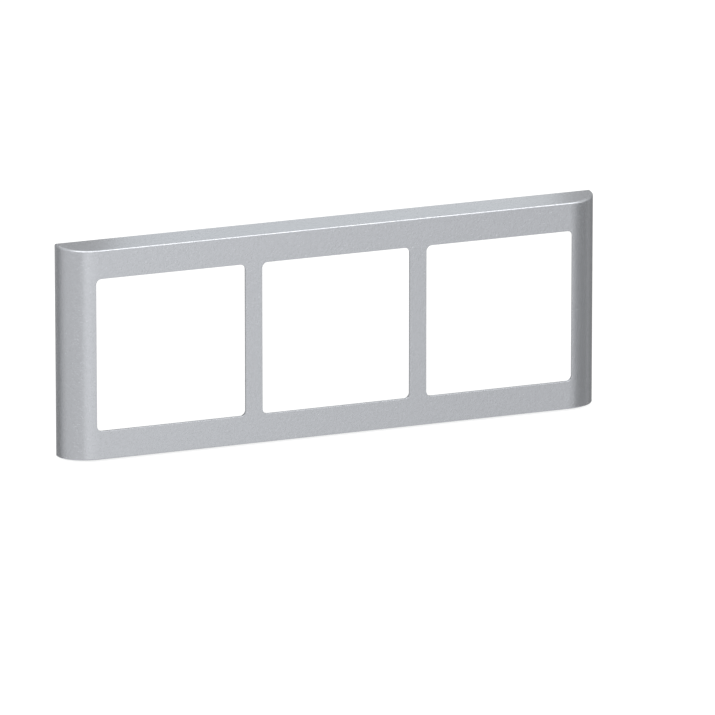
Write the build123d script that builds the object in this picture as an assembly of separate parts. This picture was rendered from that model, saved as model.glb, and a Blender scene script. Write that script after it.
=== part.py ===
from build123d import *
import os
from math import atan2, degrees, hypot, radians, tan

# Three-gang cover frame for wall switches, moulded in one piece.
# Sizes are in millimetres and angles in degrees. X runs along the frame, Z is up, the front faces -Y.
# The origin is the centre of the middle opening, in the plane of the wall.

# Device openings
gang_count = 3
opening_size = 63.8
bar_width = 7.2  # between neighbouring openings, which brings them to the standard pitch of 71
opening_corner_radius = 2.3
opening_edge_radius = 0.15
lip_thickness = 1.3  # the front plate is thinner around each opening, inside the collar

# Outside
border = 12.7  # from the openings out to the top and bottom edges at the wall
end_border = 13.0  # and out to the ends
frame_depth = 13.4
draft = 3.2  # lean of the top and bottom towards the front
end_round_length = 14.0  # the curved ends are a quarter oval, this long
end_round_depth = 12.6  # and this deep, with a straight rim from there to the wall
edge_radius = 0.8  # rounding all round the top and the bottom, which also rounds the four corners

# Shell
wall_thickness = 1.8
hollow_radius = 1.0  # rounding inside, where the skirt meets the front plate

# Stiffening behind the front plate, with depths measured from the front
collar_wall = 1.6  # wall around each opening, shared by neighbours behind the bar between them
collar_corner_radius = 2.0
collar_depth = 7.8
rib_thickness = 1.2
rib_depth = 6.6
rib_offset = 18.0  # ribs stand this far to each side of an opening's centre

gang_pitch = opening_size + bar_width
frame_height = opening_size + 2 * border
frame_length = gang_pitch * (gang_count - 1) + opening_size + 2 * end_border
recess_size = gang_pitch - collar_wall
gang_centres = [gang_pitch * (i - (gang_count - 1) / 2) for i in range(gang_count)]
bar_centres = [(a + b) / 2 for a, b in zip(gang_centres, gang_centres[1:])]


def lean(depth):
    """How far the drafted top or bottom comes in over a depth."""
    return depth * tan(radians(draft))


def end_curve(inset):
    """Plan view of the right end, in from the outside by inset: two arcs that meet without a corner."""
    chord = hypot(end_round_length, end_round_depth)
    excess = end_round_length - end_round_depth
    front_radius = chord * (chord + excess) / (2 * end_round_depth)
    rim_radius = chord * (chord - excess) / (2 * end_round_length)
    front_centre = (frame_length / 2 - end_round_length, front_radius - frame_depth)
    rim_centre = (frame_length / 2 - rim_radius, end_round_depth - frame_depth)
    turn = degrees(atan2(end_round_depth, end_round_length))
    front_arc = CenterArc(front_centre, front_radius - inset, 270, turn)
    rim_arc = CenterArc(rim_centre, rim_radius - inset, 270 + turn, 90 - turn)
    return front_arc + rim_arc


def plan_face(inset):
    """Plan view of the frame: flat front, curved ends and a straight rim at the wall."""
    half, rim = frame_length / 2 - inset, frame_depth - end_round_depth
    flat, front = frame_length / 2 - end_round_length, frame_depth - inset
    right = end_curve(inset)
    sides_and_back = Polyline((-half, -rim), (-half, 0), (half, 0), (half, -rim))
    return make_face(sides_and_back + right + Line((-flat, -front), (flat, -front)) + mirror(right, Plane.YZ))


def drafted_form(inset, radius):
    """The plan outline between a drafted top and bottom, with rounded edges down to the wall."""
    depth, high = frame_depth - inset, frame_height / 2 - inset
    low = high - lean(depth)
    side = Plane.YZ * Polygon((0, -high), (0, high), (-depth, low), (-depth, -low), align=None)
    form = extrude(Pos(0, 0, -frame_height) * plan_face(inset), 2 * frame_height)
    form &= extrude(Pos(-frame_length, 0, 0) * side, 2 * frame_length)
    by_height = form.faces().sort_by(Axis.Z)
    edges = by_height[0].edges() + by_height[-1].edges()
    return fillet(edges.filter_by(lambda edge: edge.center().Y < 0), radius)


def per_gang(outline):
    """A copy of an outline, drawn in the wall's plane, on each opening's centre."""
    return Sketch() + [Pos(x, 0) * outline for x in gang_centres]


def from_front(outline, depth):
    """An outline drawn in the wall's plane, as a solid that reaches back from the front to a depth."""
    return extrude(Plane.XZ * Pos(0, 0, frame_depth) * outline, -depth)


def opened(form):
    """The form with a hole for each device, rounded where it meets the front."""
    holes = per_gang(RectangleRounded(opening_size, opening_size, opening_corner_radius))
    through = extrude(Plane.XZ * holes, 2 * frame_depth, both=True)
    result = form - through
    rims = new_edges(form, through, combined=result)
    return fillet(rims.filter_by(lambda edge: edge.center().Y < -frame_depth / 2), opening_edge_radius)


def recesses():
    """Outlines of the spaces behind the lips, inside the collars."""
    return per_gang(RectangleRounded(recess_size, recess_size, collar_corner_radius))


def collars():
    """A wall around every recess."""
    size = recess_size + 2 * collar_wall
    outlines = per_gang(RectangleRounded(size, size, collar_corner_radius + collar_wall))
    return from_front(outlines - recesses(), collar_depth)


def ribs():
    """Short ribs from the collars out to the skirt."""
    across = [x + side * rib_offset for x in gang_centres for side in (-1, 1)] + bar_centres
    upright = [Pos(x, 0) * Rectangle(rib_thickness, frame_height) for x in across]
    along = [Pos(0, side * rib_offset) * Rectangle(frame_length, rib_thickness) for side in (-1, 1)]
    inside_collars = Rectangle(gang_pitch * (gang_count - 1) + recess_size, recess_size)
    return from_front(Sketch() + upright + along - inside_collars, rib_depth)


def cover_frame():
    """The whole moulding: a shell with collars and ribs behind its front plate, thinned to the lips."""
    hollow = drafted_form(wall_thickness, hollow_radius) - collars() - ribs()
    behind_lips = extrude(Plane.XZ * recesses(), frame_depth - lip_thickness)
    return opened(drafted_form(0, edge_radius)) - hollow - behind_lips


frame = cover_frame()
frame.label = "cover_frame"

os.makedirs("parts", exist_ok=True)
export_step(frame, "parts/cover_frame.step")
print("cover_frame:", len(frame.solids()), "solid,", round(frame.volume / 1000, 2), "cm3")
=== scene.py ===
import math
import bpy
from mathutils import Matrix, Vector


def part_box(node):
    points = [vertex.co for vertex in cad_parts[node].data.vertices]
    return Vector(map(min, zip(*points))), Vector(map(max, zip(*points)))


# Looks, light and camera for the silver cover frame. Lengths are in metres and angles in degrees.
# A bearing is an angle around the frame, 0 in front of it and growing to its right.

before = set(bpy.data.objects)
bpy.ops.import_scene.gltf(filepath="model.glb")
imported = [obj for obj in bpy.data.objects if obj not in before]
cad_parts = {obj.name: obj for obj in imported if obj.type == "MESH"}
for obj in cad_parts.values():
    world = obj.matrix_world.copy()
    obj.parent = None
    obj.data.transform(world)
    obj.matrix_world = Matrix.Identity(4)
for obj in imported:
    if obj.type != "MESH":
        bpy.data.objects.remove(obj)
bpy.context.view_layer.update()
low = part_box("cover_frame")[0]

# Camera: a long lens from the front left, a little above
IMAGE_SIZE = 715
AZIMUTH = -20.714
ELEVATION = 16.272
DISTANCE = 4.3876
PIXELS_PER_METRE = 2468.0  # at the centre of the front
CENTRE_PIXEL = (336.46, 330.87)  # where the centre of the front stands in the image
SENSOR_WIDTH = 36.0  # in millimetres, as Blender states it
CLIP_END = 100.0

# Lacquer: the flakes differ in shade, gloss and tilt, and the peel is the slight wave of its surface
FLAKES_PER_METRE = 1700.0
DARKEST_FLAKE = (0.485, 0.499, 0.524, 1)
LIGHTEST_FLAKE = (0.505, 0.519, 0.546, 1)
FLAKE_ROUGHNESS = (0.18, 0.26)
FLAKE_RELIEF = 0.0001
PEEL_WAVES_PER_METRE = 800.0
PEEL_DETAIL = 2.0
PEEL_RELIEF = 0.00007
BUMP_STRENGTH = 0.6
METALLIC = 0.9

# Floor and world
FLOOR_HALF_WIDTH = 6.0
FLOOR_GREY = 0.3
FLOOR_GLOW = 0.8  # brings the floor to white, all but the frame's shadow
AMBIENT = 0.7  # the world as light
WHITE = 1.0  # the world as background

# Lamp, above the front
LAMP_PLACE = (-0.25, -0.55, 1.0)
LAMP_TARGET = (-0.25, 0.0, 0.0)
LAMP_SIZE = (2.4, 0.8)
LAMP_POWER = 12.0

# Glowing card behind the frame, seen only in reflections, which the top mirrors: a painted reflection
# that makes the middle of the top brighter than its ends
CARD_CENTRE = (0.0845, 0.2, 0.16)
CARD_SIZE = (0.205, 0.24)
CARD_LEFT_COLOUR = (0.93, 0.955, 0.975)
CARD_RIGHT_COLOUR = (0.975, 1.0, 1.01)

# Round glowing wall of greys, seen only in reflections, which the front and the ends mirror: its painted
# reflections give the bright and dark bands there
WALL_RADIUS = 0.8
WALL_STEP = 2  # between two bearings
WALL_BOTTOM = -0.7
SEEN_FROM_BOTTOM = -0.27  # the height that the bottom of the frame mirrors
SEEN_FROM_TOP = -0.19  # and the one that its top mirrors
HORIZON = (0.04, 0.06)  # the tones change between these two heights
WALL_TOP = 0.6

# What shows below the horizon: bearing, and the brightness as the top and the bottom of the frame see
# it. The bright stretch from -28 to 13 makes the light band on the left end.
LOW_TONES = [
    (-180, 0.85, 0.85), (-160, 0.75, 0.7), (-151, 0.58, 0.4), (-138, 0.4, 0.285), (-128, 0.38, 0.31),
    (-109, 0.685, 0.635), (-98, 0.81, 0.79), (-90, 0.87, 0.87), (-42, 0.86, 0.88), (-35, 1.02, 0.98),
    (-28, 1.25, 1.14), (-20, 1.29, 1.175), (-9, 1.19, 1.09), (13, 1.15, 1.09), (18, 1.075, 0.985),
    (24, 0.98, 0.905), (28, 0.925, 0.875), (34, 0.88, 0.88), (42, 0.66, 0.66), (49, 0.5, 0.5),
    (57, 0.4, 0.4), (70, 0.36, 0.36), (84, 0.38, 0.38), (94, 0.5, 0.5), (103, 0.36, 0.36),
    (130, 0.3, 0.3), (180, 0.85, 0.85),
]
# And above it: bearing and brightness
HIGH_TONES = [(-180, 0.5), (-165, 0.3), (-140, 0.5), (-90, 1.0), (60, 1.0), (120, 0.5), (180, 0.5)]


def add_camera():
    """A camera on the front's centre, moved sideways so that the centre lands on its pixel."""
    azimuth, elevation = math.radians(AZIMUTH), math.radians(ELEVATION)
    back = Vector((
        math.sin(azimuth) * math.cos(elevation),
        -math.cos(azimuth) * math.cos(elevation),
        math.sin(elevation),
    ))
    right = Vector((math.cos(azimuth), math.sin(azimuth), 0))
    up = back.cross(right)
    front_centre = Vector((0, low.y, 0))
    across = (CENTRE_PIXEL[0] - IMAGE_SIZE / 2) / PIXELS_PER_METRE
    down = (CENTRE_PIXEL[1] - IMAGE_SIZE / 2) / PIXELS_PER_METRE
    data = bpy.data.cameras.new("camera")
    data.sensor_width = SENSOR_WIDTH
    data.lens = SENSOR_WIDTH * PIXELS_PER_METRE * DISTANCE / IMAGE_SIZE
    data.clip_end = CLIP_END
    camera = bpy.data.objects.new("camera", data)
    axes = Matrix((right, up, back)).transposed().to_4x4()
    place = front_centre + back * DISTANCE - right * across + up * down
    camera.matrix_world = Matrix.Translation(place) @ axes
    bpy.context.scene.collection.objects.link(camera)
    bpy.context.scene.camera = camera


def new_material(name):
    """A material and its empty node tree."""
    material = bpy.data.materials.new(name)
    material.use_nodes = True
    tree = material.node_tree
    tree.nodes.clear()
    return material, tree


def add_node(tree, kind, values=None, **settings):
    """A node with its settings, and with plain values on its named inputs."""
    made = tree.nodes.new(kind)
    for name, value in settings.items():
        setattr(made, name, value)
    for name, value in (values or {}).items():
        made.inputs[name].default_value = value
    return made


def silver_lacquer():
    """Matt metallic lacquer: fine flakes that catch the light one by one, over a slight orange peel."""
    material, tree = new_material("silver_lacquer")
    link = tree.links.new
    place = add_node(tree, "ShaderNodeTexCoord").outputs["Object"]

    flakes = add_node(tree, "ShaderNodeTexVoronoi", {"Scale": FLAKES_PER_METRE})
    link(place, flakes.inputs["Vector"])
    flake = add_node(tree, "ShaderNodeSeparateColor")
    link(flakes.outputs["Color"], flake.inputs["Color"])
    shade = add_node(tree, "ShaderNodeValToRGB")
    shade.color_ramp.elements[0].color = DARKEST_FLAKE
    shade.color_ramp.elements[1].color = LIGHTEST_FLAKE
    link(flake.outputs["Red"], shade.inputs["Fac"])
    gloss = add_node(tree, "ShaderNodeMapRange", {
        "To Min": FLAKE_ROUGHNESS[0],
        "To Max": FLAKE_ROUGHNESS[1],
    })
    link(flake.outputs["Blue"], gloss.inputs["Value"])

    peel = add_node(tree, "ShaderNodeTexNoise", {"Scale": PEEL_WAVES_PER_METRE, "Detail": PEEL_DETAIL})
    link(place, peel.inputs["Vector"])
    wave = add_node(tree, "ShaderNodeBump", {"Strength": BUMP_STRENGTH, "Distance": PEEL_RELIEF})
    link(peel.outputs["Fac"], wave.inputs["Height"])
    tilt = add_node(tree, "ShaderNodeBump", {"Strength": BUMP_STRENGTH, "Distance": FLAKE_RELIEF})
    link(flake.outputs["Green"], tilt.inputs["Height"])
    link(wave.outputs["Normal"], tilt.inputs["Normal"])

    shader = add_node(tree, "ShaderNodeBsdfPrincipled", {"Metallic": METALLIC})
    link(shade.outputs["Color"], shader.inputs["Base Color"])
    link(gloss.outputs["Result"], shader.inputs["Roughness"])
    link(tilt.outputs["Normal"], shader.inputs["Normal"])
    output = add_node(tree, "ShaderNodeOutputMaterial")
    link(shader.outputs["BSDF"], output.inputs["Surface"])
    return material


def mix_by_ray(tree, as_light, as_background):
    """One shader as light, and another for the camera and for what metal and glass show of it."""
    link = tree.links.new
    path = add_node(tree, "ShaderNodeLightPath")
    background_ray = path.outputs["Is Camera Ray"]
    for name in ("Is Glossy Ray", "Is Transmission Ray"):
        step = add_node(tree, "ShaderNodeMath", operation="MAXIMUM")
        link(background_ray, step.inputs[0])
        link(path.outputs[name], step.inputs[1])
        background_ray = step.outputs[0]
    mix = add_node(tree, "ShaderNodeMixShader")
    link(background_ray, mix.inputs[0])
    link(as_light.outputs[0], mix.inputs[1])
    link(as_background.outputs[0], mix.inputs[2])
    return mix


def floor_material():
    """A white floor that keeps the frame's soft shadow."""
    material, tree = new_material("floor")
    link = tree.links.new
    surface = add_node(tree, "ShaderNodeBsdfDiffuse", {"Color": (FLOOR_GREY, FLOOR_GREY, FLOOR_GREY, 1)})
    glow = add_node(tree, "ShaderNodeEmission", {"Strength": FLOOR_GLOW})
    both = add_node(tree, "ShaderNodeAddShader")
    link(surface.outputs[0], both.inputs[0])
    link(glow.outputs[0], both.inputs[1])
    output = add_node(tree, "ShaderNodeOutputMaterial")
    link(mix_by_ray(tree, surface, both).outputs[0], output.inputs["Surface"])
    return material


def add_floor():
    """A large floor that the frame stands on. Reflections show the white world in its place."""
    half = FLOOR_HALF_WIDTH
    corners = [(-half, -half), (half, -half), (half, half), (-half, half)]
    mesh = bpy.data.meshes.new("floor")
    mesh.from_pydata([(x, y, low.z) for x, y in corners], [], [(0, 1, 2, 3)])
    mesh.materials.append(floor_material())
    floor = bpy.data.objects.new("floor", mesh)
    floor.visible_glossy = False
    bpy.context.scene.collection.objects.link(floor)


def add_reflector(name, corners, faces, colours):
    """A glowing surface that only shows in reflections, as a card beside a product does."""
    mesh = bpy.data.meshes.new(name)
    mesh.from_pydata(corners, [], faces)
    glow_colour = mesh.color_attributes.new(name="glow", type="FLOAT_COLOR", domain="POINT")
    for point, colour in zip(glow_colour.data, colours):
        point.color = (*colour, 1)
    material, tree = new_material(name)
    attribute = add_node(tree, "ShaderNodeAttribute", attribute_name="glow")
    glow = add_node(tree, "ShaderNodeEmission")
    output = add_node(tree, "ShaderNodeOutputMaterial")
    tree.links.new(attribute.outputs["Color"], glow.inputs["Color"])
    tree.links.new(glow.outputs[0], output.inputs["Surface"])
    material.cycles.emission_sampling = "NONE"
    mesh.materials.append(material)
    reflector = bpy.data.objects.new(name, mesh)
    reflector.visible_camera = reflector.visible_diffuse = False
    reflector.visible_shadow = reflector.visible_transmission = False
    bpy.context.scene.collection.objects.link(reflector)


def tone_at(tones, bearing):
    """The brightness at a bearing, blended between the two listed points beside it."""
    for (start, first), (end, last) in zip(tones, tones[1:]):
        if start <= bearing <= end:
            return first + (last - first) * (bearing - start) / (end - start)


def add_reflection_wall():
    """The round glowing wall, as rings of points with the glow tones that show at each height, which
    give the painted reflections on the front and the ends.
    """
    seen_from_top = [(bearing, tone) for bearing, tone, _ in LOW_TONES]
    seen_from_bottom = [(bearing, tone) for bearing, _, tone in LOW_TONES]
    rings = [
        (WALL_BOTTOM, seen_from_bottom),
        (SEEN_FROM_BOTTOM, seen_from_bottom),
        (SEEN_FROM_TOP, seen_from_top),
        (HORIZON[0], seen_from_top),
        (HORIZON[1], HIGH_TONES),
        (WALL_TOP, HIGH_TONES),
    ]
    bearings = range(-180, 180, WALL_STEP)
    circle = [
        (WALL_RADIUS * math.sin(math.radians(bearing)), -WALL_RADIUS * math.cos(math.radians(bearing)))
        for bearing in bearings
    ]
    corners = [(x, y, height) for height, _ in rings for x, y in circle]
    colours = [[tone_at(tones, bearing)] * 3 for _, tones in rings for bearing in bearings]
    count = len(bearings)
    faces = [
        (base + i, base + (i + 1) % count, base + count + (i + 1) % count, base + count + i)
        for base in range(0, count * (len(rings) - 1), count)
        for i in range(count)
    ]
    add_reflector("reflection_wall", corners, faces, colours)


def add_back_card():
    """An upright glowing card, parallel to the wall that the frame is made for; its painted reflection
    lights the middle of the top.
    """
    x, y, z = CARD_CENTRE
    half_width, half_height = CARD_SIZE[0] / 2, CARD_SIZE[1] / 2
    corners = [
        (x - half_width, y, z - half_height),
        (x + half_width, y, z - half_height),
        (x + half_width, y, z + half_height),
        (x - half_width, y, z + half_height),
    ]
    colours = [CARD_LEFT_COLOUR, CARD_RIGHT_COLOUR, CARD_RIGHT_COLOUR, CARD_LEFT_COLOUR]
    add_reflector("back_card", corners, [(0, 1, 2, 3)], colours)


def set_world():
    """White where the background shows, and a softer white as light."""
    world = bpy.data.worlds.new("studio")
    bpy.context.scene.world = world
    world.use_nodes = True
    tree = world.node_tree
    tree.nodes.clear()
    ambient = add_node(tree, "ShaderNodeBackground", {"Color": (1, 1, 1, 1), "Strength": AMBIENT})
    white = add_node(tree, "ShaderNodeBackground", {"Color": (1, 1, 1, 1), "Strength": WHITE})
    output = add_node(tree, "ShaderNodeOutputWorld")
    tree.links.new(mix_by_ray(tree, ambient, white).outputs[0], output.inputs["Surface"])


def add_lamp():
    """A soft rectangular lamp over the front, which the camera doesn't see."""
    data = bpy.data.lights.new("overhead", "AREA")
    data.shape = "RECTANGLE"
    data.size, data.size_y = LAMP_SIZE
    data.energy = LAMP_POWER
    lamp = bpy.data.objects.new("overhead", data)
    lamp.location = LAMP_PLACE
    aim = Vector(LAMP_TARGET) - Vector(LAMP_PLACE)
    lamp.rotation_euler = aim.to_track_quat("-Z", "Y").to_euler()
    lamp.visible_camera = False
    bpy.context.scene.collection.objects.link(lamp)


bpy.context.scene.view_settings.view_transform = "Standard"
add_camera()
set_world()
add_floor()
add_lamp()
add_reflection_wall()
add_back_card()

lacquer = silver_lacquer()
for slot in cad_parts["cover_frame"].material_slots:
    slot.material = lacquer
